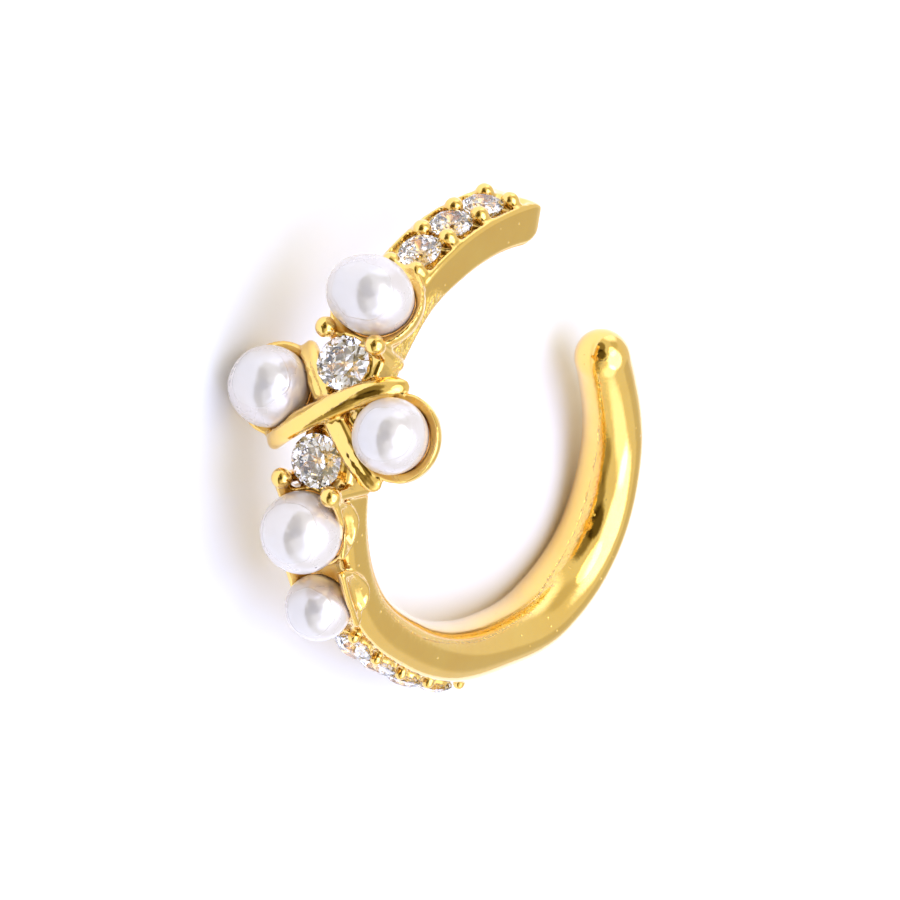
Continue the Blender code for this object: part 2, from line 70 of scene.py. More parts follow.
# Hoop
HOOP_RADIUS = 8.0
BAND_THICKNESS = 1.6
BAND_WIDTH = 2.06
TUBE_END = -220.5
TUBE_DOME = 0.95
ARM_TAIL = 2.06
ARM_BLUNT = 0.7
ARM_PULL = (0.3, 0.9, 0.1)
RING_STEP = 0.8
RING_SIDES = 120
DOME_STEP = 3
BLUNT_STEP = 9

# Channels for the small stones
ARM_RIM = 0.17
LOW_RIM = 0.3
CHANNEL_DEPTH = 0.24
LOW_CHANNEL_DEPTH = 0.12
CHANNEL_TAIL = 1.25
CHANNEL_FADE = 4.0
CHANNEL_START = 0.05
CHANNEL_SLANT = 5.0
CHANNEL_STEPS = 40
CLEARANCE = 0.02

# Pearls
ROUND = (1.0, 1.0, 1.0)
TOP_PEARL_RADIUS = 1.4
TOP_PEARL_STRETCH = (0.91, 1.05, 1.0)
FAR_PEARL_RADIUS = 1.33
NEAR_PEARL_RADIUS = 1.23
LOWER_PEARL_RADIUS = 1.34
SMALL_PEARL_RADIUS = 1.1
TOP_PEARL_SINK = 0.72
LOWER_PEARL_SINK = 0.43
SMALL_PEARL_SINK = 0.54
SIDE_PEARL_GAP = 0.11
FAR_PEARL_AHEAD = 0.12
SIDE_PEARL_RISE = 0.26
PEARL_LUMP = 0.016
PEARL_LUMP_WAVE = 1.3
PEARL_GROW = 1.012
BODY_SHARE = 0.962
LOBE_SHARE = 0.88
LOBE_SHIFT = 0.12
LOBE_WAVE = 0.012
LOBE_WAVES = 2.2
CAP_EDGE = 0.008
PEARL_SPLITS = 6
ROOM_SEGMENTS = (64, 40)

# Where each pearl's smooth cap faces: right, up and back in the picture
CAPS = {
    "pearl_top": (-0.3, 0.1, 0.95),
    "pearl_far": (-0.28, 0.22, 0.93),
    "pearl_near": (-0.2, 0.06, 0.97),
    "pearl_lower_1": (-0.38, 0.03, 0.92),
    "pearl_lower_2": (-0.3, -0.15, 0.94),
}

# Dishes under the pearls
DISH_WALL = 0.16
DISH_LIP = 0.14
TOP_DISH_FLARE = 0.1
LOWER_DISH_FLARE = 0.0
SIDE_DISH_FLARE = 0.19
SIDE_DISH_RIM = 0.09
LOWER_DISH_SPREAD = 1.0
DISH_DROP = 0.5
DISH_LEDGE = 0.07
DISH_BEVEL = 0.16
DISH_SEGMENTS = 72
DISH_STEP = 6
SIDE_ARM_RADIUS = 0.42

# Stones
MOTIF_STONE_RADIUS = 0.87
ARM_STONE_RADIUS = 0.7
LOW_STONE_RADIUS = 0.67
MOTIF_STAND = 0.58
ARM_STAND = 0.16
LOW_STAND = 0.42
MOTIF_LEAN = 8.0
MOTIF_ASIDE = 0.1
STONE_FACETS = 8
ARM_STONES = 3
LOW_STONES = 4

# A stone's shape, as shares of its radius
TABLE_REACH = 0.56
TABLE_HEIGHT = 0.32
STAR_REACH = 0.78
GIRDLE_HALF = 0.03
PAVILION_REACH = 0.42
CULET_DEPTH = 0.86
COLLAR_FOOT = 0.8
COLLAR_TOP = 0.93
COLLAR_SIDES = 48

# Room along the hoop between one setting and the next
CROSS_ROOM = 0.29
TOP_PEARL_ROOM = 0.04
LOWER_PEARL_ROOM = 0.15
SMALL_PEARL_ROOM = 0.75
ARM_START_ROOM = 0.42
LOW_START_ROOM = 1.05
ARM_STONE_ROOM = 0.28
LOW_STONE_ROOM = 0.44

# Crossed bands
CROSS_WIDTH = 0.78
CROSS_THICKNESS = 0.5
CROSS_SPAN = 1.84
OVER_LEAN = 1.46
UNDER_LEAN = 1.6
OVER_SHIFT = -0.2
UNDER_SHIFT = 0.0
GROOVE_DEPTH = 0.28
GROOVE_WIDTH = 0.22
CROSS_RISE = 0.42
CROSS_UNDER = 0.3
CROSS_DROP = 0.18
CROSS_STEPS = 60
CROSS_SIDES = 32
CROSS_TIP = 0.3
CROSS_BLUNT = 3.0
CROSS_BEND = 3
SMALLEST_RING = 0.02

# Prongs and beads
PRONG_BALL = 0.345
PRONG_POST = 0.19
PRONG_FOOT = 0.24
PRONG_DOWN = 1.0
PRONG_ALONG = 0.82
PRONG_SIDE = 0.97
PRONG_RISE = 0.14
ARM_BEAD_RADIUS = 0.32
ARM_BEAD_TOP = 0.34
ARM_BEAD_SIDE = 0.5
LOW_BEAD_RADIUS = 0.21
LOW_BEAD_TOP = 0.33
LOW_BEAD_SIDE = 0.42
BEAD_POST = 0.8

# Leaf-shaped plates on both sides of the hoop, beside the lower pearls: the raised rim's run of
# angles and reaches, and the spot under the pearl that the plate's face runs up to
LEAF_TOP = 1.17
LEAF_BASE = 0.9
LEAF_WIRE = 0.095
LEAF_FOLD = 0.11
LEAF_SCOOP = (0.4, 0.27)
LEAF_SCOOP_LENGTH = 0.42
RIM_STEPS = 6
FOLD_STEPS = 8
WIRE_ROUND = 4
WIRE_STEPS = 8
LEAVES = {
    "pearl_lower_1": (
        ((-16.7, 9.21), (-18.1, 8.43), (-21.0, 8.01), (-23.3, 7.94), (-26.4, 8.10), (-29.6, 8.64)),
        (-21.8, 8.74),
    ),
    "pearl_lower_2": (
        ((-33.0, 8.65), (-35.4, 8.11), (-39.7, 7.61), (-43.0, 7.49), (-45.4, 7.61), (-47.5, 7.99),
         (-49.3, 8.31)),
        (-39.9, 8.46),
    ),
}

# Casting: the skin that melts all the metal into one, and its fine unevenness
VOXEL = 0.0745
MELT_STEPS = 3
SKIN_REACH = 0.06
SKIN_CLEAR = (0.05, 0.2)
PASS = 0.05
# Rays that measure how shut in each point of the gold is, as the mask for its painted shade
SHADE_RAY_REACH = 1.2
SHADE_RAYS = 14

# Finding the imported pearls: rounds of fitting, and the share of points kept in each
FIT_ROUNDS = 8
FIT_SHARE = 0.7

# Sections of the hoop: reach, thick and width are shares of HOOP_RADIUS, BAND_THICKNESS and
# BAND_WIDTH. outer, inner and wall say how flat the outer face, the inner face and the sides are,
# where 2 is round, and flank widens the sides' flat part, where 1 is not at all.
SECTION_COLUMNS = ("angle", "reach", "thick", "width", "outer", "inner", "wall", "flank")
SECTIONS = (
    (-222, 0.830, 1.16, 0.93, 2.0, 2.0, 2.0, 1.00),
    (-205, 0.925, 1.20, 0.97, 2.0, 2.0, 2.0, 1.00),
    (-185, 1.070, 1.26, 1.07, 2.0, 2.0, 2.0, 1.00),
    (-165, 1.158, 1.30, 1.15, 2.0, 2.0, 2.0, 1.00),
    (-145, 1.115, 1.33, 1.20, 2.0, 2.0, 2.0, 1.00),
    (-125, 0.987, 1.22, 1.13, 2.2, 2.0, 2.1, 1.00),
    (-105, 0.899, 1.17, 1.13, 4.0, 2.1, 2.6, 1.00),
    (-80, 0.852, 1.10, 1.07, 5.0, 2.3, 3.0, 1.00),
    (-50, 0.897, 1.06, 1.02, 6.0, 2.4, 3.2, 1.00),
    (-20, 0.950, 1.00, 1.00, 6.0, 2.6, 3.6, 1.02),
    (0, 0.995, 0.97, 1.00, 6.0, 2.8, 4.5, 1.05),
    (20, 1.030, 0.95, 1.00, 8.0, 3.0, 6.0, 1.06),
    (30, 1.043, 0.95, 1.00, 8.0, 3.0, 6.0, 1.06),
    (44, 1.022, 1.02, 1.00, 8.0, 3.0, 6.0, 1.06),
    (60, 0.995, 1.01, 1.00, 8.0, 3.0, 6.0, 1.06),
    (71, 0.980, 1.04, 1.00, 8.0, 3.0, 6.0, 1.06),
)

# A crease along the hoop: angles, and degrees round the section from the outer face towards +Z
CREASE = (
    (-12, 112), (-50, 108), (-77, 108), (-97, 124), (-115, 134), (-130, 148), (-151, 175), (-172, 182),
    (-191, 175), (-204, 161), (-216, 151), (-219, 117), (-220, 69),
)
CREASE_STEPS = 40
CREASE_REACH = 0.4

# Grainy stretches of the near wall: angle, reach and size of each
GRAINS = ((17.0, 7.9, 0.75), (24.0, 8.0, 0.7), (31.0, 8.0, 0.6))

# The photo's camera, about the cuff: it stands this far round from the crossed bands, this far up
# from the hoop's plane, and sees the hoop's axis turned this far from level. The hoop's centre lies
# aside from the middle of the picture.
CAMERA_ROUND = 4.6
CAMERA_UP = 31.33
CAMERA_ROLL = -20.8
CAMERA_DISTANCE = 163.03
CAMERA_ASIDE = (0.88, 0.163)
CAMERA_LENS = 200.0

# The studio's light, and its cards seen from the cuff: degrees right and up from the camera's
# direction, half width, soft edge and light. Cards below 1 are dark, and the darker the warmer.
STUDIO_LIGHT = 0.84
WARMTH = (1.0, 1.12, 1.55)
STUDIO_COLUMNS = ("right", "up", "wide", "edge", "level")
STUDIO = (
    (-10, 2, 15, 8, 0.15),
    (-15, 30, 14, 10, 0.3),
    (-34, -14, 13, 12, 0.35),
    (-54, -4, 14, 12, 0.36),
    (-48, -44, 12, 14, 0.42),
    (119, -18, 8, 10, 0.78),
    (62, 40, 8, 12, 0.8),
    (50, -14, 26, 12, 2.5),
    (42, -58, 14, 14, 1.8),
    (90, 72, 14, 18, 1.9),
)

# The key light: its way from the cuff as right, up and back in the picture, its distance and size in
# metres, and its power in watts
KEY_WAY = (0.62, 0.25, 0.74)
KEY_DISTANCE = 0.5
KEY_SIZE = 0.3
KEY_POWER = 0.35
FLOOR_HALF = 1.5

# Colours, each from one end of its clouds to the other
GOLD_LIT = ((0.3, (0.94, 0.58, 0.08)), (0.7, (0.97, 0.635, 0.11)))
# Painted shade: dark brown gold for corners and recesses where nearby metal shuts the skin in
GOLD_PAINTED_SHADE = ((0.3, (0.28, 0.14, 0.03)), (0.7, (0.38, 0.21, 0.05)))
NACRE_CAP = ((0.35, (0.74, 0.70, 0.675)), (0.5, (0.77, 0.725, 0.68)), (0.65, (0.79, 0.73, 0.665)))
NACRE_SKIRT = ((0.35, (0.76, 0.69, 0.635)), (0.65, (0.79, 0.73, 0.68)))
NACRE_SPECK = ((0.0, (0.10, 0.08, 0.07)), (1.0, (0.16, 0.12, 0.10)))
STONE_TINT = ((0.3, (0.95, 0.91, 0.89)), (0.7, (0.99, 0.97, 0.96)))
FLOOR_TONE = ((0.3, 0.94), (0.7, 0.96))


def section_at(angle):
    """The hoop's section at an angle, on a smooth curve through the table's rows."""
    rows = np.array(SECTIONS)
    knots = rows[:, 0]
    slopes = np.gradient(rows, knots, axis=0)
    i = int(np.clip(np.searchsorted(knots, angle) - 1, 0, len(knots) - 2))
    span = knots[i + 1] - knots[i]
    t = float(np.clip((angle - knots[i]) / span, 0.0, 1.0))
    blend = (
        (2 * t**3 - 3 * t**2 + 1) * rows[i]
        + (t**3 - 2 * t**2 + t) * span * slopes[i]
        + (3 * t**2 - 2 * t**3) * rows[i + 1]
        + (t**3 - t**2) * span * slopes[i + 1]
    )
    section = dict(zip(SECTION_COLUMNS, blend))
    section["reach"] *= HOOP_RADIUS
    section["thick"] *= BAND_THICKNESS
    section["width"] *= BAND_WIDTH
    return section


def outward(angle):
    turn = math.radians(angle)
    return Vector((-math.sin(turn), -math.cos(turn), 0.0))


def place(angle, reach, side=0.0):
    return outward(angle) * reach + Vector((0.0, 0.0, side))


def outer_reach(angle):
    section = section_at(angle)
    return section["reach"] + section["thick"] / 2


def frame_at(angle, reach, side=0.0, lean=0.0):
    """Axes at a place on the hoop: x along it, y along its axis and z outward, leant towards +Z."""
    z = outward(angle)
    y = Vector((0.0, 0.0, 1.0))
    axes = Matrix((y.cross(z), y, z)).transposed().to_4x4()
    tip = Matrix.Rotation(math.radians(-lean), 4, "X")
    return Matrix.Translation(place(angle, reach, side)) @ axes @ tip


def step_along(angle, distance, reach):
    return angle + math.degrees(distance / reach)


def spine(angle):
    """A point of the hoop's centre line, and the direction that faces outward square to that line."""
    near, here, far = (
        place(turn, section_at(turn)["reach"]) for turn in (angle - 1.0, angle, angle + 1.0)
    )
    along = (far - near).normalized()
    return here, Vector((-along.y, along.x, 0.0))


def new_collection(name):
    collection = bpy.data.collections.new(name)
    bpy.context.scene.collection.children.link(collection)
    return collection


def object_from(name, shape, matrix, collection):
    mesh = bpy.data.meshes.new(name)
    shape.to_mesh(mesh)
    shape.free()
    obj = bpy.data.objects.new(name, mesh)
    obj.matrix_world = matrix
    collection.objects.link(obj)
    return obj


def loft(name, rings, collection, matrix=None):
    """A closed skin through rings of points. A ring of one point is a pole."""
    shape = bmesh.new()
    made = [[shape.verts.new(point) for point in ring] for ring in rings]
    for first, second in zip(made, made[1:]):
        count = max(len(first), len(second))
        for i in range(count):
            j = (i + 1) % count
            if len(first) == 1:
                shape.faces.new((first[0], second[j], second[i]))
            elif len(second) == 1:
                shape.faces.new((first[i], first[j], second[0]))
            else:
                shape.faces.new((first[i], first[j], second[j], second[i]))
    for ring in (made[0], made[-1]):
        if len(ring) > 1:
            shape.faces.new(ring)
    bmesh.ops.recalc_face_normals(shape, faces=shape.faces)
    return object_from(name, shape, matrix or Matrix(), collection)


def turned(name, profile, matrix, collection):
    """A profile of reach and height turned round local Z. Its ends lie on the axis."""
    rings = []
    for reach, height in profile:
        if reach == 0.0:
            rings.append([Vector((0.0, 0.0, height))])
            continue
        turns = [2 * math.pi * k / DISH_SEGMENTS for k in range(DISH_SEGMENTS)]
        rings.append([Vector((reach * math.cos(t), reach * math.sin(t), height)) for t in turns])
    return loft(name, rings, collection, matrix)


def ball(name, radius, matrix, collection, stretch=ROUND, segments=40, rings=24):
    shape = bmesh.new()
    bmesh.ops.create_uvsphere(shape, u_segments=segments, v_segments=rings, radius=radius)
    bmesh.ops.scale(shape, vec=stretch, verts=shape.verts)
    return object_from(name, shape, matrix, collection)


def rod(name, start, end, start_radius, end_radius, collection, sides=28):
    along = end - start
    shape = bmesh.new()
    bmesh.ops.create_cone(
        shape,
        cap_ends=True,
        segments=sides,
        radius1=start_radius,
        radius2=end_radius,
        depth=along.length,
    )
    turn = along.to_track_quat("Z", "Y").to_matrix().to_4x4()
    return object_from(name, shape, Matrix.Translation((start + end) / 2) @ turn, collection)


def tube(name, points, radius, collection):
    """A round wire through points."""
    curve = bpy.data.curves.new(name, "CURVE")
    curve.dimensions = "3D"
    curve.bevel_depth = radius
    curve.bevel_resolution = WIRE_ROUND
    curve.use_fill_caps = True
    curve.resolution_u = WIRE_STEPS
    spline = curve.splines.new("NURBS")
    spline.points.add(len(points) - 1)
    for target, point in zip(spline.points, points):
        target.co = (*point, 1.0)
    spline.order_u = 3
    spline.use_endpoint_u = True
    guide = bpy.data.objects.new(name + "_guide", curve)
    bpy.context.scene.collection.objects.link(guide)
    bpy.context.view_layer.update()
    graph = bpy.context.evaluated_depsgraph_get()
    mesh = bpy.data.meshes.new_from_object(guide.evaluated_get(graph))
    bpy.data.objects.remove(guide)
    shape = bmesh.new()
    shape.from_mesh(mesh)
    bpy.data.meshes.remove(mesh)
    bmesh.ops.remove_doubles(shape, verts=shape.verts, dist=0.0001)
    bmesh.ops.recalc_face_normals(shape, faces=shape.faces)
    return object_from(name, shape, Matrix(), collection)


def point_on(angle, turn, scales=ROUND):
    """A point of the hoop's skin, this far round its section from the outer face towards +Z."""
    section = section_at(angle)
    centre, out = spine(angle)
    up, across = math.cos(turn), math.sin(turn)
    half = "outer" if up > 0 else "inner"
    wall = min(section["wall"], section[half])
    reach = math.copysign(abs(up) ** (2 / wall), up) * section["thick"] / 2
    flat = min(1.0, section["flank"] * abs(across) ** (2 / section[half]))
    side = math.copysign(flat, across) * section["width"] / 2
    reach *= scales[0] if up > 0 else scales[1]
    return centre + out * reach + Vector((0.0, 0.0, side * scales[2]))


def ring_of(angle, scales=ROUND):
    """One section of the hoop, as points round a squared oval."""
    return [point_on(angle, 2 * math.pi * k / RING_SIDES, scales) for k in range(RING_SIDES)]


def build_hoop(arm_end, collection):
    dome = math.degrees(TUBE_DOME / section_at(TUBE_END)["reach"])
    blunt = math.degrees(ARM_BLUNT / section_at(arm_end)["reach"])
    start, end = TUBE_END + dome, arm_end - blunt
    rings = []
    for lift in range(90 - DOME_STEP, 0, -DOME_STEP):
        turn = math.radians(lift)
        size = math.cos(turn)
        rings.append(ring_of(start - dome * math.sin(turn), (size, size, size)))
    count = round((end - start) / RING_STEP)
    rings += [ring_of(start + (end - start) * k / count) for k in range(count + 1)]
    for lift in range(BLUNT_STEP, 90, BLUNT_STEP):
        turn = math.radians(lift)
        scales = [1 - pull * (1 - math.cos(turn)) for pull in ARM_PULL]
        rings.append(ring_of(end + blunt * math.sin(turn), scales))
    return loft("gold_hoop", rings, collection)


def cut_channel(name, start, end, deep, rim, slant, collection):
    """A cutter that sinks a flat-floored channel between two rims and fades out at both ends."""
    rings = []
    for k in range(CHANNEL_STEPS + 1):
        share = k / CHANNEL_STEPS
        corners = []
        for lift, way in ((0, -1), (0, 1), (1, 1), (1, -1)):
            stop = end - slant if way < 0 else end
            angle = start + (stop - start) * share
            section = section_at(angle)
            centre, out = spine(angle)
            from_end = min(angle - start, stop - angle)
            faded = min(1.0, from_end / CHANNEL_FADE)
            depth = deep * (CHANNEL_START + (1 - CHANNEL_START) * faded)
            floor = section["thick"] / 2 - depth
            top = section["thick"] / 2 + CHANNEL_DEPTH
            half = section["width"] / 2 - rim
            corners.append(centre + out * (top if lift else floor) + Vector((0.0, 0.0, way * half)))
        rings.append(corners)
    loft(name, rings, collection)


def brilliant(name, radius, matrix, collection, grow=0.0):
    """A round brilliant, table outward, with its girdle at the frame's origin."""
    wide = radius + grow
    step = 2 * math.pi / STONE_FACETS
    half = math.cos(step / 2)
    crown = TABLE_HEIGHT - GIRDLE_HALF
    star = TABLE_HEIGHT - crown * (STAR_REACH * half - TABLE_REACH) / (1 - TABLE_REACH)
    pavilion = (CULET_DEPTH - GIRDLE_HALF) * PAVILION_REACH * half - CULET_DEPTH
    rings = (
        (TABLE_REACH, TABLE_HEIGHT, 0.0, 1),
        (STAR_REACH, star, 0.5, 1),
        (1.0, GIRDLE_HALF, 0.0, 2),
        (1.0, -GIRDLE_HALF, 0.0, 2),
        (PAVILION_REACH, pavilion, 0.5, 1),
    )
    shape = bmesh.new()
    shape.verts.new((0.0, 0.0, -CULET_DEPTH * wide))
    for reach, height, offset, share in rings:
        for k in range(STONE_FACETS * share):
            turn = step * (k / share + offset)
            point = Vector((reach * math.cos(turn), reach * math.sin(turn), height))
            shape.verts.new(point * wide)
    bmesh.ops.convex_hull(shape, input=shape.verts)
    bmesh.ops.recalc_face_normals(shape, faces=shape.faces)
    return object_from(name, shape, matrix, collection)


def set_stone(node, radius, stand, angle, groups, side=0.0, lean=0.0):
    """A stone whose table stands this far above the hoop, on a low collar, in its own seat."""
    girdle = outer_reach(angle) + stand - TABLE_HEIGHT * radius
    place_of = frame_at(angle, girdle, side, lean)
    stone = brilliant(node + "_cut", radius, place_of, groups["pieces"])
    brilliant("seat_of_" + node, radius, place_of, groups["hollows"], CLEARANCE)
    foot = place_of @ Vector((0.0, 0.0, -CHANNEL_DEPTH - stand - PASS))
    top = place_of @ Vector((0.0, 0.0, -GIRDLE_HALF * radius))
    sizes = (COLLAR_FOOT * radius, COLLAR_TOP * radius)
    rod("collar_of_" + node, foot, top, *sizes, groups["castings"], COLLAR_SIDES)
    return stone


def build_dish(name, pearl, rim, spread, place_of, groups):
    """A shallow dish under a pearl at the frame's origin. A wide one has a raised rim round a ledge."""
    raised = rim > pearl + SIDE_DISH_FLARE - PASS
    deep = pearl + CLEARANCE + DISH_WALL
    lip = DISH_DROP + DISH_LIP
    inside = rim - SIDE_DISH_RIM if raised else math.sqrt(pearl**2 - DISH_DROP**2) + CLEARANCE
    edge = DISH_DROP if raised else DISH_DROP + DISH_BEVEL
    bowl = [(0.0, -DISH_DROP), (inside, -DISH_DROP), (rim, -edge), (rim, -lip - edge + DISH_DROP)]
    for degrees in range(DISH_STEP, 90, DISH_STEP):
        across, down = math.cos(math.radians(degrees)), math.sin(math.radians(degrees))
        bowl.append((rim * across, -lip - edge + DISH_DROP - (deep - lip) * down))
    place_of = place_of @ Matrix.Diagonal((1.0, spread, 1.0, 1.0))
    turned("dish_of_" + name, bowl + [(0.0, -deep - edge + DISH_DROP)], place_of, groups["castings"])
    if raised:
        ledge = DISH_DROP + DISH_LEDGE
        hollow = [(0.0, PASS - DISH_DROP), (inside, PASS - DISH_DROP), (inside, -ledge)]
        turned("hollow_of_" + name, hollow + [(0.0, -ledge - PASS)], place_of, groups["hollows"])


def set_pearl(node, radius, flare, place_of, groups, stretch=ROUND, spread=1.0, cap=None):
    """A pearl with a smooth cap grown over a slightly smaller body, which leaves a faint arc."""
    shape = bmesh.new()
    bmesh.ops.create_icosphere(shape, subdivisions=PEARL_SPLITS, radius=1.0)
    caps = {}
    seed = Vector(place_of.translation)
    shift = (place_of.to_3x3().inverted() @ cap).normalized() * LOBE_SHIFT
    shape.verts.index_update()
    for vert in shape.verts:
        way = vert.co.normalized()
        ahead = way.dot(shift)
        wave = LOBE_WAVE * noise.noise(way * LOBE_WAVES + seed)
        lobe = ahead + math.sqrt(LOBE_SHARE**2 - shift.length_squared + ahead**2) + wave
        lump = PEARL_LUMP * noise.noise(way * radius / PEARL_LUMP_WAVE - seed)
        vert.co = way * radius * PEARL_GROW * (max(lobe, BODY_SHARE) + lump)
        caps[vert.index] = min(1.0, max(0.0, (lobe - BODY_SHARE) / CAP_EDGE + 0.5))
    bmesh.ops.scale(shape, vec=stretch, verts=shape.verts)
    pearl = object_from(node + "_nacre", shape, place_of, groups["pieces"])
    mark = pearl.data.attributes.new("cap", "FLOAT", "POINT").data
    for i, share in caps.items():
        mark[i].value = share
    ball("room_for_" + node, radius + CLEARANCE, place_of, groups["hollows"], stretch, *ROOM_SEGMENTS)
    build_dish(node, radius, radius * max(stretch) + flare, spread, place_of, groups)
    return pearl


def build_cross_band(name, lean, rise, shift, groove, collection):
    """One of the crossed bands, arched over the hoop from side to side and leaning along it."""
    crest = outer_reach(0.0)
    rings = []
    for k in range(CROSS_STEPS + 1):
        share = 2 * k / CROSS_STEPS - 1
        reached = share * (1 + CROSS_TIP / CROSS_SPAN)
        bend = abs(reached) ** CROSS_BEND
        reach = crest + rise * (1 - bend) - CROSS_DROP * bend
        angle = step_along(0.0, lean * reached, crest)
        before = max(0.0, (abs(reached) - 1 + CROSS_TIP / CROSS_SPAN) / (2 * CROSS_TIP / CROSS_SPAN))
        size = math.sqrt(max(0.0, 1 - before**CROSS_BLUNT))
        rings.append((place(angle, reach, shift + CROSS_SPAN * reached), size))
    lofted = []
    for k, (centre, size) in enumerate(rings):
        if size < SMALLEST_RING:
            lofted.append([centre])
            continue
        along = (rings[min(k + 1, CROSS_STEPS)][0] - rings[max(k - 1, 0)][0]).normalized()
        across = along.cross(outward(0.0)).normalized() * size * CROSS_WIDTH / 2
        up = across.cross(along).normalized() * size * CROSS_THICKNESS / 2
        ring = []
        for j in range(CROSS_SIDES):
            turn = 2 * math.pi * j / CROSS_SIDES
            dip = 1 - groove * math.exp(-((math.cos(turn) / GROOVE_WIDTH) ** 2)) * (math.sin(turn) > 0)
            ring.append(centre + across * math.cos(turn) + up * math.sin(turn) * dip)
        lofted.append(ring)
    loft(name, lofted, collection)


def build_prongs(name, stone_angle, direction, castings):
    """Two ball-ended prongs, one on each side of the hoop, just past a motif stone."""
    top = outer_reach(stone_angle) + MOTIF_STAND + PRONG_RISE
    angle = step_along(stone_angle, direction * PRONG_ALONG, top)
    for label, side in (("far", -1), ("near", 1)):
        tip = place(angle, top, side * PRONG_SIDE)
        foot = place(angle, outer_reach(angle) - PRONG_DOWN, side * (BAND_WIDTH / 2 - PRONG_POST / 2))
        rod(f"{name}_{label}_post", foot, tip, PRONG_FOOT, PRONG_POST, castings)
        ball(f"{name}_{label}_foot", PRONG_FOOT, Matrix.Translation(foot), castings)
        ball(f"{name}_{label}_ball", PRONG_BALL, frame_at(angle, top, side * PRONG_SIDE), castings)


def build_beads(name, angles, radius, top, side, castings):
    """Pairs of bead prongs across the hoop, between the small stones, on short posts."""
    for i, angle in enumerate(angles, 1):
        reach = outer_reach(angle)
        for label, way in (("far", -1), ("near", 1)):
            head = frame_at(angle, reach + top - radius, way * side)
            ball(f"{name}_{i}_{label}", radius, head, castings)
            foot = place(angle, reach - CHANNEL_DEPTH - PASS, way * side)
            thick = BEAD_POST * radius
            rod(f"{name}_{i}_{label}_post", foot, head.translation, thick, thick, castings)


def smooth_run(points, steps):
    """A finer run of points on a smooth curve through these."""
    run = []
    ends = [2 * points[0] - points[1]] + points + [2 * points[-1] - points[-2]]
    for a, b, c, d in zip(ends, ends[1:], ends[2:], ends[3:]):
        for k in range(steps):
            t = k / steps
            run.append(0.5 * (2 * b + (c - a) * t + (2 * a - 5 * b + 4 * c - d) * t**2
                              + (3 * b - a - 3 * c + d) * t**3))
    return run + [points[-1]]


def build_leaf(name, rim, heart, groups):
    """A leaf-shaped plate with a raised wire rim and a scooped face, on both sides of the hoop."""
    run = smooth_run([place(*spot) for spot in rim], RIM_STEPS)
    fold = smooth_run([run[-1], place(*heart), run[0]], FOLD_STEPS)
    outline = run + fold[1:-1]
    middle = sum(outline, Vector()) / len(outline)
    along = (run[-1] - run[0]).normalized()
    across = Vector((0.0, 0.0, 1.0)).cross(along)
    axes = Matrix((along, across, Vector((0.0, 0.0, 1.0)))).transposed().to_4x4()
    deep, aside = LEAF_SCOOP
    size = ((run[-1] - run[0]).length * LEAF_SCOOP_LENGTH, aside, deep)
    for label, way in (("far", -1), ("near", 1)):
        levels = [Vector((0.0, 0.0, way * height)) for height in (LEAF_BASE, LEAF_TOP)]
        rings = [[point + level for point in outline] for level in levels]
        loft(f"{name}_{label}_plate", rings, groups["castings"])
        tube(f"{name}_{label}_rim", [p + levels[1] for p in run], LEAF_WIRE, groups["castings"])
        tube(f"{name}_{label}_fold", [p + levels[1] for p in fold], LEAF_FOLD, groups["castings"])
        spot = middle + Vector((0.0, 0.0, way * (LEAF_TOP + deep / 2)))
        ball(f"{name}_{label}_scoop", 1.0, Matrix.Translation(spot) @ axes, groups["hollows"], size)


def row_of(first, pitch, count, reach):
    """Angles of a row of stones, and of the beads between and beyond them."""
    stones = [step_along(first, pitch * k, reach) for k in range(count)]
    beads = [step_along(first, pitch * (k - 0.5), reach) for k in range(count + 1)]
    return stones, beads


def lay_out():
    """Angles of all the settings, worked out from the crossed bands outwards both ways."""
    crest = outer_reach(0.0)
    from_cross = CROSS_WIDTH / 2 + CROSS_ROOM + MOTIF_STONE_RADIUS
    upper = step_along(0.0, from_cross, crest)
    lower = step_along(0.0, -from_cross, crest)
    top_half = TOP_PEARL_RADIUS * TOP_PEARL_STRETCH[0]
    top_reach = crest + MOTIF_STAND + TOP_PEARL_ROOM
    top = step_along(upper, MOTIF_STONE_RADIUS + TOP_PEARL_ROOM + top_half, top_reach)
    to_first = MOTIF_STONE_RADIUS + LOWER_PEARL_ROOM + LOWER_PEARL_RADIUS
    first = step_along(lower, -to_first, crest + MOTIF_STAND)
    between = LOWER_PEARL_RADIUS + SMALL_PEARL_ROOM + SMALL_PEARL_RADIUS
    second = step_along(first, -between, outer_reach(first) + SMALL_PEARL_SINK)
    arm_first = step_along(top, top_half + ARM_START_ROOM + ARM_STONE_RADIUS, outer_reach(top))
    arm_pitch = 2 * ARM_STONE_RADIUS + ARM_STONE_ROOM
    arm = row_of(arm_first, arm_pitch, ARM_STONES, outer_reach(arm_first))
    low_step = SMALL_PEARL_RADIUS + LOW_START_ROOM + LOW_STONE_RADIUS
    low_first = step_along(second, -low_step, outer_reach(second))
    low_pitch = 2 * LOW_STONE_RADIUS + LOW_STONE_ROOM
    low = row_of(low_first, -low_pitch, LOW_STONES, outer_reach(low_first))
    return {
        "upper": upper,
        "lower": lower,
        "top": top,
        "first": first,
        "second": second,
        "arm": arm,
        "low": low,
        "arm_end": step_along(arm[0][-1], ARM_TAIL, outer_reach(arm[0][-1])),
        "low_end": step_along(low[0][-1], -CHANNEL_TAIL, outer_reach(low[0][-1])),
    }


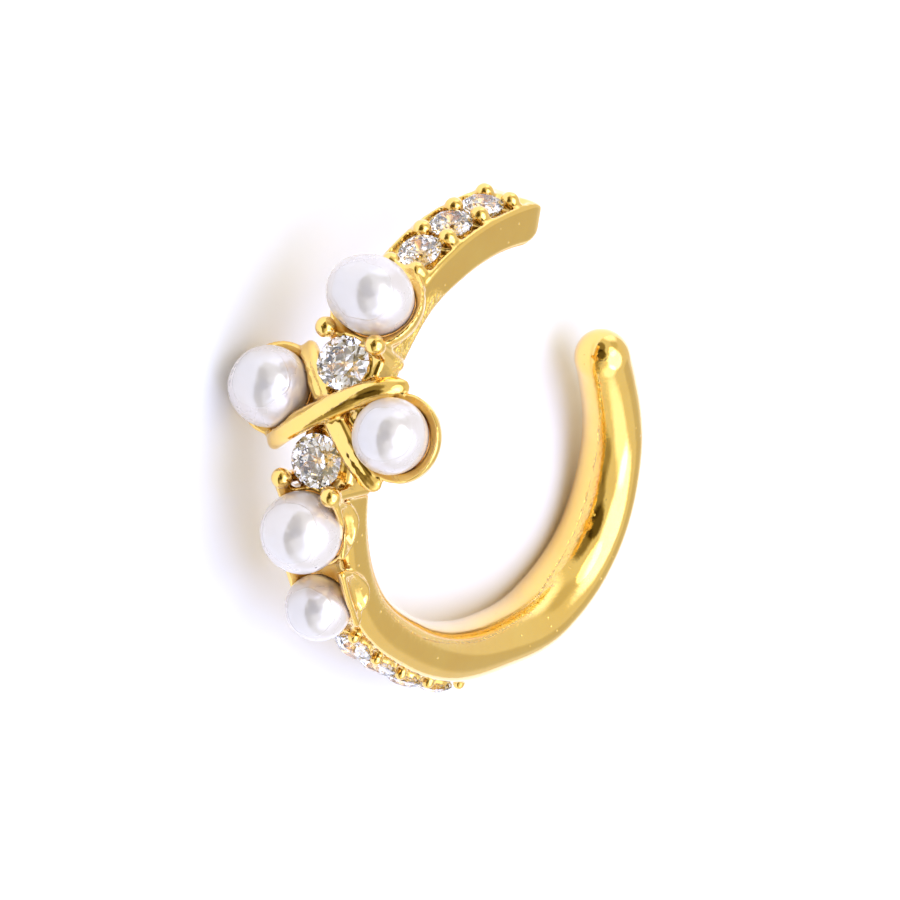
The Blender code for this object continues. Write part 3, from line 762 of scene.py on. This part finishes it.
def pearl_table(layout):
    """For each pearl: its node, radius, dish flare, place, stretch and dish spread."""
    top = frame_at(layout["top"], outer_reach(layout["top"]) + TOP_PEARL_RADIUS - TOP_PEARL_SINK)
    table = [("pearl_top", TOP_PEARL_RADIUS, TOP_DISH_FLARE, top, TOP_PEARL_STRETCH, 1.0)]
    for node, radius, sink, angle in (
        ("pearl_lower_1", LOWER_PEARL_RADIUS, LOWER_PEARL_SINK, layout["first"]),
        ("pearl_lower_2", SMALL_PEARL_RADIUS, SMALL_PEARL_SINK, layout["second"]),
    ):
        place_of = frame_at(angle, outer_reach(angle) + radius - sink)
        table.append((node, radius, LOWER_DISH_FLARE, place_of, ROUND, LOWER_DISH_SPREAD))
    reach = outer_reach(0.0) + SIDE_PEARL_RISE
    for node, radius, way, ahead in (
        ("pearl_far", FAR_PEARL_RADIUS, -1, FAR_PEARL_AHEAD),
        ("pearl_near", NEAR_PEARL_RADIUS, 1, 0.0),
    ):
        side = way * (BAND_WIDTH / 2 + SIDE_PEARL_GAP + radius)
        place_of = frame_at(step_along(0.0, ahead, reach), reach, side)
        table.append((node, radius, SIDE_DISH_FLARE, place_of, ROUND, 1.0))
    return table


def build_side_arms(castings):
    """The two short arms that carry the side pearls' dishes."""
    reach = outer_reach(0.0) + SIDE_PEARL_RISE
    for label, radius, way in (("far", FAR_PEARL_RADIUS, -1), ("near", NEAR_PEARL_RADIUS, 1)):
        side = way * (BAND_WIDTH / 2 + SIDE_PEARL_GAP + radius)
        root = place(0.0, section_at(0.0)["reach"], way * BAND_WIDTH / 4)
        under = place(0.0, reach - radius, side - way * radius / 4)
        rod("arm_" + label, root, under, SIDE_ARM_RADIUS, SIDE_ARM_RADIUS, castings)


def join(obj, operation, helpers):
    step = obj.modifiers.new(operation.lower() + "_" + helpers.name, "BOOLEAN")
    step.operation = operation
    step.solver = "MANIFOLD"
    step.operand_type = "COLLECTION"
    step.collection = helpers


def surface_tree(objects):
    """A search tree over the faces of these objects, as their modifiers make them."""
    graph = bpy.context.evaluated_depsgraph_get()
    points, faces = [], []
    for obj in objects:
        mesh = obj.evaluated_get(graph).to_mesh()
        first = len(points)
        points += [obj.matrix_world @ vert.co for vert in mesh.vertices]
        faces += [[first + i for i in poly.vertices] for poly in mesh.polygons]
    return BVHTree.FromPolygons(points, faces)


def mark_skin(mesh):
    """Notes how near each point is to the crease, and how grainy the skin is there."""
    knots = [Vector((angle, math.radians(turn), 0.0)) for angle, turn in CREASE]
    run = [point_on(spot.x, spot.y) for spot in smooth_run(knots, CREASE_STEPS)]
    tree = KDTree(len(run))
    for i, point in enumerate(run):
        tree.insert(point, i)
    tree.balance()
    spots = [(place(angle, reach, BAND_WIDTH / 2), size) for angle, reach, size in GRAINS]
    crease = mesh.attributes.new("crease", "FLOAT", "POINT").data
    grain = mesh.attributes.new("grain", "FLOAT", "POINT").data
    for i, vert in enumerate(mesh.vertices):
        crease[i].value = min(1.0, tree.find(vert.co)[2] / CREASE_REACH)
        near = max(1 - (vert.co - spot).length / size for spot, size in spots)
        grain[i].value = min(1.0, max(0.0, near * 2))


def mark_painted_shade(mesh):
    """Notes how much of each point's view outward is blocked by other metal close by: the mask for the
    gold's painted shade.
    """
    points = [vert.co.copy() for vert in mesh.vertices]
    tree = BVHTree.FromPolygons(points, [tuple(face.vertices) for face in mesh.polygons])
    rays = []
    for k in range(SHADE_RAYS):
        share = (k + 0.5) / SHADE_RAYS
        out, turn = math.sqrt(share), k * math.pi * (3 - math.sqrt(5))
        rays.append(Vector((out * math.cos(turn), out * math.sin(turn), math.sqrt(1 - share))))
    # The hollow attribute is the mask of the gold's painted shade
    marks = mesh.attributes.new("hollow", "FLOAT", "POINT").data
    for i, vert in enumerate(mesh.vertices):
        normal = vert.normal.copy()
        turn = normal.to_track_quat("Z", "Y")
        start = points[i] + normal * PASS / 2
        hits = sum(tree.ray_cast(start, turn @ ray, SHADE_RAY_REACH)[0] is not None for ray in rays)
        marks[i].value = hits / SHADE_RAYS


def melt(hoop, groups):
    """One cast skin over all the metal, true to the hoop's own curve where nothing else is near."""
    helpers = [obj for name in ("channels", "castings", "hollows") for obj in groups[name].objects]
    bpy.context.view_layer.update()
    plain = surface_tree([hoop])
    near_by = surface_tree(helpers)
    join(hoop, "DIFFERENCE", groups["channels"])
    join(hoop, "UNION", groups["castings"])
    join(hoop, "DIFFERENCE", groups["hollows"])
    skin = hoop.modifiers.new("skin", "REMESH")
    skin.mode = "VOXEL"
    skin.voxel_size = VOXEL
    soften = hoop.modifiers.new("soften", "SMOOTH")
    soften.iterations = MELT_STEPS
    bpy.context.view_layer.update()
    graph = bpy.context.evaluated_depsgraph_get()
    mesh = bpy.data.meshes.new_from_object(hoop.evaluated_get(graph))
    low, high = SKIN_CLEAR
    for vert in mesh.vertices:
        spot, _, _, gap = plain.find_nearest(vert.co)
        if gap > SKIN_REACH:
            continue
        clear = near_by.find_nearest(vert.co)[3]
        share = min(1.0, max(0.0, (clear - low) / (high - low)))
        vert.co = vert.co.lerp(spot, share * share * (3 - 2 * share))
    for obj in helpers:
        bpy.data.objects.remove(obj)
    mark_skin(mesh)
    mark_painted_shade(mesh)
    hoop.modifiers.clear()
    hoop.data = mesh
    mesh.shade_smooth()
    return hoop


def sphere_centre(node):
    """The centre of a packed pearl, from the points of its mesh that lie on one sphere."""
    points = np.array([vert.co for vert in frame["nodes"][node].data.vertices], float)
    kept = points
    for _ in range(FIT_ROUNDS):
        middle = kept.mean(axis=0)
        local = kept - middle
        rows = np.column_stack((2 * local, np.ones(len(local))))
        solved = np.linalg.lstsq(rows, (local**2).sum(axis=1), rcond=None)[0]
        centre = solved[:3] + middle
        radius = math.sqrt(solved[3] + (solved[:3] ** 2).sum())
        off = np.abs(np.linalg.norm(points - centre, axis=1) - radius)
        kept = points[off <= np.quantile(off, FIT_SHARE)]
    return centre


def find_row_matrix(table):
    """The matrix from the cuff's frame, in millimetres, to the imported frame, in metres."""
    rows = [(row[0], row[3].translation) for row in table if row[4] == ROUND]
    local = np.array([spot for _, spot in rows]) * MM
    world = np.array([sphere_centre(node) for node, _ in rows])
    u, _, vt = np.linalg.svd((local - local.mean(axis=0)).T @ (world - world.mean(axis=0)))
    sign = np.sign(np.linalg.det(vt.T @ u.T))
    turn = vt.T @ np.diag((1.0, 1.0, sign)) @ u.T
    shift = world.mean(axis=0) - turn @ local.mean(axis=0)
    miss = np.abs(local @ turn.T + shift - world).max()
    print(f"Pearls found within {miss * 1e6:.1f} micrometres")
    matrix = Matrix(turn.tolist()).to_4x4()
    matrix.translation = Vector(shift)
    return matrix @ Matrix.Scale(MM, 4)


def settle(obj, node, row_matrix, look):
    """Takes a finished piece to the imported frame, and has it stand for its node."""
    obj.data.transform(row_matrix @ obj.matrix_world)
    obj.matrix_world = Matrix()
    obj.data.materials.clear()
    obj.data.materials.append(look)
    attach(obj, "root")
    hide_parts(node)


class Nodes:
    """Short calls for building a material's nodes."""

    def __init__(self, name):
        self.material = bpy.data.materials.new(name)
        self.material.use_nodes = True
        self.tree = self.material.node_tree
        self.shader = self.tree.nodes["Principled BSDF"]
        self.spot = self.add("ShaderNodeTexCoord").outputs["Object"]

    def add(self, kind, **settings):
        node = self.tree.nodes.new(kind)
        for key, value in settings.items():
            if key in node.inputs:
                node.inputs[key].default_value = value
            else:
                setattr(node, key, value)
        return node

    def link(self, source, target):
        self.tree.links.new(source, target)

    def noise(self, per_mm, detail=2.0, roughness=0.5, distortion=0.0):
        made = self.add("ShaderNodeTexNoise")
        made.inputs["Scale"].default_value = per_mm / MM
        made.inputs["Detail"].default_value = detail
        made.inputs["Roughness"].default_value = roughness
        made.inputs["Distortion"].default_value = distortion
        self.link(self.spot, made.inputs["Vector"])
        return made.outputs["Fac"]

    def mark(self, name):
        made = self.add("ShaderNodeAttribute")
        made.attribute_name = name
        return made.outputs["Fac"]

    def combine(self, operation, first, second):
        made = self.add("ShaderNodeMath")
        made.operation = operation
        for socket, value in zip(made.inputs, (first, second)):
            if isinstance(value, float):
                socket.default_value = value
            else:
                self.link(value, socket)
        return made.outputs["Value"]

    def blend(self, share, first, second):
        made = self.add("ShaderNodeMix")
        made.data_type = "RGBA"
        sockets = {socket.identifier: socket for socket in (*made.inputs, *made.outputs)}
        self.link(share, sockets["Factor_Float"])
        self.link(first, sockets["A_Color"])
        self.link(second, sockets["B_Color"])
        return sockets["Result_Color"]

    def times(self, first, second):
        return self.combine("MULTIPLY", first, second)

    def sum(self, first, second):
        return self.combine("ADD", first, second)

    def ramp(self, source, stops):
        made = self.add("ShaderNodeValToRGB")
        elements = made.color_ramp.elements
        while len(elements) < len(stops):
            elements.new(0.5)
        for element, (position, value) in zip(elements, stops):
            element.position = position
            element.color = (*value, 1.0) if isinstance(value, tuple) else (value, value, value, 1.0)
        self.link(source, made.inputs["Fac"])
        return made.outputs["Color"]

    def bump(self, source, depth, before=None):
        """Raises the surface by up to this many millimetres."""
        made = self.add("ShaderNodeBump")
        made.inputs["Strength"].default_value = 1.0
        made.inputs["Distance"].default_value = depth * MM
        self.link(source, made.inputs["Height"])
        if before is not None:
            self.link(before, made.inputs["Normal"])
        return made.outputs["Normal"]


def gold_material():
    """Bright yellow gold, polished over a slightly uneven cast skin, with painted shade that darkens it
    to brown in corners and recesses.
    """
    n = Nodes("polished_gold")
    n.shader.inputs["Metallic"].default_value = 1.0
    n.shader.inputs["Coat Weight"].default_value = 1.0
    n.shader.inputs["Coat IOR"].default_value = 1.9
    n.shader.inputs["Coat Roughness"].default_value = 0.05
    tone = n.noise(0.7, 4.0, 0.6)
    lit, hollow = n.ramp(tone, GOLD_LIT), n.ramp(tone, GOLD_PAINTED_SHADE)
    # Painted shade: the hollow mask, broken up by noise, darkens the gold to brown where nearby metal
    # shuts it in
    shade = n.sum(n.mark("hollow"), n.times(n.noise(4.0, 3.0), 0.16))
    colour = n.blend(n.ramp(shade, ((0.34, 0.0), (0.9, 1.0))), lit, hollow)
    n.link(colour, n.shader.inputs["Base Color"])
    haze = n.noise(3.0, 5.0, 0.7)
    n.link(n.ramp(haze, ((0.35, 0.06), (0.75, 0.14))), n.shader.inputs["Roughness"])
    swell = n.bump(n.noise(0.5, 1.0, 0.5), 0.04)
    dents = n.bump(n.noise(3.5, 3.0, 0.6, 0.6), 0.005, swell)
    pits = n.add("ShaderNodeTexVoronoi")
    pits.inputs["Scale"].default_value = 2.0 / MM
    n.link(n.spot, pits.inputs["Vector"])
    pitted = n.bump(n.ramp(pits.outputs["Distance"], ((0.04, 0.0), (0.1, 1.0))), 0.015, dents)
    torn = n.times(n.noise(7.0, 3.0, 0.6, 1.0), n.ramp(n.mark("crease"), ((0.2, 1.0), (1.0, 0.0))))
    rough = n.bump(torn, 0.02, pitted)
    ragged = n.sum(n.mark("crease"), n.times(n.noise(5.0, 2.0), 0.3))
    creased = n.bump(n.ramp(ragged, ((0.14, 0.0), (0.26, 1.0))), 0.06, rough)
    grained = n.bump(n.times(n.noise(4.5, 2.0, 0.5, 1.5), n.mark("grain")), 0.12, creased)
    n.link(grained, n.shader.inputs["Normal"])
    return n.material


def pearl_material():
    """White nacre with a soft lustre and faint cream and rose clouds."""
    n = Nodes("nacre")
    clouds = n.noise(0.45, 2.0, 0.5, 0.4)
    smooth = n.ramp(clouds, NACRE_CAP)
    skirt = n.ramp(n.noise(0.8, 3.0), NACRE_SKIRT)
    body = n.blend(n.mark("cap"), skirt, smooth)
    specks = n.add("ShaderNodeTexVoronoi")
    specks.inputs["Scale"].default_value = 0.9 / MM
    n.link(n.spot, specks.inputs["Vector"])
    dots = n.ramp(specks.outputs["Distance"], ((0.028, 1.0), (0.045, 0.0)))
    rare = n.ramp(specks.outputs["Color"], ((0.55, 0.0), (0.6, 1.0)))
    dark = n.ramp(clouds, NACRE_SPECK)
    n.link(n.blend(n.times(dots, rare), body, dark), n.shader.inputs["Base Color"])
    n.shader.inputs["Metallic"].default_value = 0.33
    n.shader.inputs["Specular IOR Level"].default_value = 0.7
    n.shader.inputs["Coat Weight"].default_value = 0.5
    n.shader.inputs["Coat Roughness"].default_value = 0.1
    gloss = n.ramp(n.noise(1.3, 3.0), ((0.3, 0.17), (0.7, 0.24)))
    n.link(n.sum(gloss, n.ramp(n.mark("cap"), ((0.0, 0.08), (1.0, 0.0)))), n.shader.inputs["Roughness"])
    edge = n.bump(n.ramp(n.mark("cap"), ((0.0, 0.0), (0.5, 1.0), (1.0, 0.3))), 0.009)
    n.link(n.bump(n.noise(0.9, 3.0, 0.5, 0.5), 0.006, edge), n.shader.inputs["Normal"])
    return n.material


def stone_material():
    """Clear, colourless stone with crisp facets and faint inner haze."""
    n = Nodes("clear_stone")
    n.shader.inputs["Transmission Weight"].default_value = 1.0
    n.shader.inputs["IOR"].default_value = 2.15
    n.link(n.ramp(n.noise(2.0, 2.0), STONE_TINT), n.shader.inputs["Base Color"])
    n.link(n.ramp(n.noise(6.0, 3.0), ((0.4, 0.0), (0.8, 0.03))), n.shader.inputs["Roughness"])
    return n.material


def floor_material():
    n = Nodes("pale_floor")
    n.link(n.ramp(n.noise(0.02, 3.0), FLOOR_TONE), n.shader.inputs["Base Color"])
    n.shader.inputs["Roughness"].default_value = 0.9
    n.shader.inputs["Specular IOR Level"].default_value = 0.1
    return n.material


def build_floor():
    shape = bmesh.new()
    bmesh.ops.create_grid(shape, x_segments=8, y_segments=8, size=FLOOR_HALF)
    floor = object_from("floor", shape, Matrix(), bpy.context.scene.collection)
    floor.data.materials.append(floor_material())


def picture_axes():
    """The camera's right, up and back, in the cuff's frame."""
    turn, rise, roll = (math.radians(a) for a in (CAMERA_ROUND, CAMERA_UP, CAMERA_ROLL))
    back = outward(CAMERA_ROUND) * math.cos(rise) + Vector((0.0, 0.0, math.sin(rise)))
    axis = Vector((0.0, 0.0, 1.0)) - back * back.z
    axis.normalize()
    square = back.cross(axis)
    right = axis * math.cos(roll) - square * math.sin(roll)
    up = axis * math.sin(roll) + square * math.cos(roll)
    return right, up, back


def build_camera(row_matrix, axes):
    right, up, back = axes
    aside, lift = CAMERA_ASIDE
    spot = row_matrix.translation + (back * CAMERA_DISTANCE - right * aside - up * lift) * MM
    camera = bpy.data.cameras.new("photo_camera")
    camera.lens = CAMERA_LENS
    camera.clip_start = 0.01
    camera.clip_end = 10.0
    obj = bpy.data.objects.new("photo_camera", camera)
    bpy.context.scene.collection.objects.link(obj)
    obj.matrix_world = Matrix.Translation(spot) @ Matrix((right, up, back)).transposed().to_4x4()
    bpy.context.scene.camera = obj


def soft_card(world, source, towards, wide, edge, level):
    """Multiplies the world's light by this level inside a soft round card."""
    nodes, links = world.node_tree.nodes, world.node_tree.links
    dot = nodes.new("ShaderNodeVectorMath")
    dot.operation = "DOT_PRODUCT"
    dot.inputs[1].default_value = towards
    links.new(nodes["ray"].outputs["Generated"], dot.inputs[0])
    mask = nodes.new("ShaderNodeMapRange")
    mask.interpolation_type = "SMOOTHSTEP"
    mask.inputs["From Min"].default_value = math.cos(math.radians(wide + edge))
    mask.inputs["From Max"].default_value = math.cos(math.radians(wide))
    mask.inputs["To Min"].default_value = 1.0
    mask.inputs["To Max"].default_value = level
    links.new(dot.outputs["Value"], mask.inputs["Value"])
    times = nodes.new("ShaderNodeMath")
    times.operation = "MULTIPLY"
    links.new(source, times.inputs[0])
    links.new(mask.outputs["Result"], times.inputs[1])
    return times.outputs["Value"]


def build_world(axes):
    world = bpy.data.worlds.new("studio")
    bpy.context.scene.world = world
    world.use_nodes = True
    nodes, links = world.node_tree.nodes, world.node_tree.links
    ray = nodes.new("ShaderNodeTexCoord")
    ray.name = "ray"
    base = nodes.new("ShaderNodeValue")
    base.outputs[0].default_value = STUDIO_LIGHT
    light = base.outputs[0]
    for row in STUDIO:
        card = dict(zip(STUDIO_COLUMNS, row))
        turn, rise = math.radians(card["right"]), math.radians(card["up"])
        level_way = axes[0] * math.sin(turn) + axes[2] * math.cos(turn)
        towards = level_way * math.cos(rise) + axes[1] * math.sin(rise)
        light = soft_card(world, light, towards, card["wide"], card["edge"], card["level"])
    tint = nodes.new("ShaderNodeCombineColor")
    for socket, power in zip(tint.inputs, WARMTH):
        raised = nodes.new("ShaderNodeMath")
        raised.operation = "POWER"
        links.new(light, raised.inputs[0])
        raised.inputs[1].default_value = power
        links.new(raised.outputs["Value"], socket)
    links.new(tint.outputs["Color"], nodes["Background"].inputs["Color"])


def area_light(name, axes, towards, distance, size, power):
    """A soft light that faces the cuff, placed by right, up and back in the picture."""
    way = sum((axis * share for axis, share in zip(axes, towards)), Vector())
    light = bpy.data.lights.new(name, "AREA")
    light.shape = "DISK"
    light.size = size
    light.energy = power
    obj = bpy.data.objects.new(name, light)
    bpy.context.scene.collection.objects.link(obj)
    turn = way.to_track_quat("Z", "Y").to_matrix().to_4x4()
    obj.matrix_world = Matrix.Translation(way.normalized() * distance) @ turn


def set_look():
    scene = bpy.context.scene
    scene.view_settings.view_transform = "Standard"
    scene.view_settings.look = "None"
    scene.cycles.use_denoising = True
    scene.cycles.max_bounces = 16
    scene.cycles.transmission_bounces = 14
    scene.cycles.glossy_bounces = 8
    scene.cycles.sample_clamp_indirect = 6.0


def main():
    groups = {name: new_collection(name) for name in ("pieces", "channels", "castings", "hollows")}
    layout = lay_out()
    table = pearl_table(layout)
    row_matrix = find_row_matrix(table)
    picture = picture_axes()
    axes = [(row_matrix.to_3x3() @ axis).normalized() for axis in picture]
    build_camera(row_matrix, axes)
    build_floor()
    build_world(axes)
    area_light("key", axes, KEY_WAY, KEY_DISTANCE, KEY_SIZE, KEY_POWER)
    set_look()

    hoop = build_hoop(layout["arm_end"], groups["pieces"])
    castings = groups["castings"]
    arm_stop = step_along(layout["arm_end"], -ARM_RIM - ARM_BLUNT / 2, HOOP_RADIUS)
    channels = groups["channels"]
    arm_cut = (CHANNEL_DEPTH, ARM_RIM, CHANNEL_SLANT)
    cut_channel("arm_channel", layout["top"], arm_stop, *arm_cut, channels)
    low_cut = (LOW_CHANNEL_DEPTH, LOW_RIM, 0.0)
    cut_channel("low_channel", layout["low_end"], layout["second"], *low_cut, channels)
    build_cross_band("cross_over", OVER_LEAN, CROSS_RISE, OVER_SHIFT, 0.0, castings)
    under_rise = CROSS_RISE - CROSS_UNDER
    build_cross_band("cross_under", -UNDER_LEAN, under_rise, UNDER_SHIFT, GROOVE_DEPTH, castings)
    build_prongs("upper_prong", layout["upper"], 1, castings)
    build_prongs("lower_prong", layout["lower"], -1, castings)
    arm_beads = (ARM_BEAD_RADIUS, ARM_BEAD_TOP, ARM_BEAD_SIDE)
    build_beads("arm_bead", layout["arm"][1], *arm_beads, castings)
    low_beads = (LOW_BEAD_RADIUS, LOW_BEAD_TOP, LOW_BEAD_SIDE)
    build_beads("low_bead", layout["low"][1], *low_beads, castings)
    build_side_arms(castings)
    for node, (rim, heart) in LEAVES.items():
        build_leaf("leaf_of_" + node, rim, heart, groups)

    nacre = pearl_material()
    for node, radius, flare, place_of, stretch, spread in table:
        cap = sum((axis * share for axis, share in zip(picture, CAPS[node])), Vector())
        pearl = set_pearl(node, radius, flare, place_of, groups, stretch, spread, cap)
        pearl.data.shade_smooth()
        settle(pearl, node, row_matrix, nacre)
    clear = stone_material()
    for label in ("upper", "lower"):
        node = f"stone_motif_{label}"
        size = (MOTIF_STONE_RADIUS, MOTIF_STAND, layout[label])
        stone = set_stone(node, *size, groups, -MOTIF_ASIDE, MOTIF_LEAN)
        settle(stone, node, row_matrix, clear)
    for row, radius, stand, angles in (
        ("stone_arm", ARM_STONE_RADIUS, ARM_STAND, layout["arm"][0]),
        ("stone_low", LOW_STONE_RADIUS, LOW_STAND, layout["low"][0]),
    ):
        for i, angle in enumerate(angles, 1):
            stone = set_stone(f"{row}_{i}", radius, stand, angle, groups)
            settle(stone, f"{row}_{i}", row_matrix, clear)

    settle(melt(hoop, groups), "cuff_body", row_matrix, gold_material())


main()
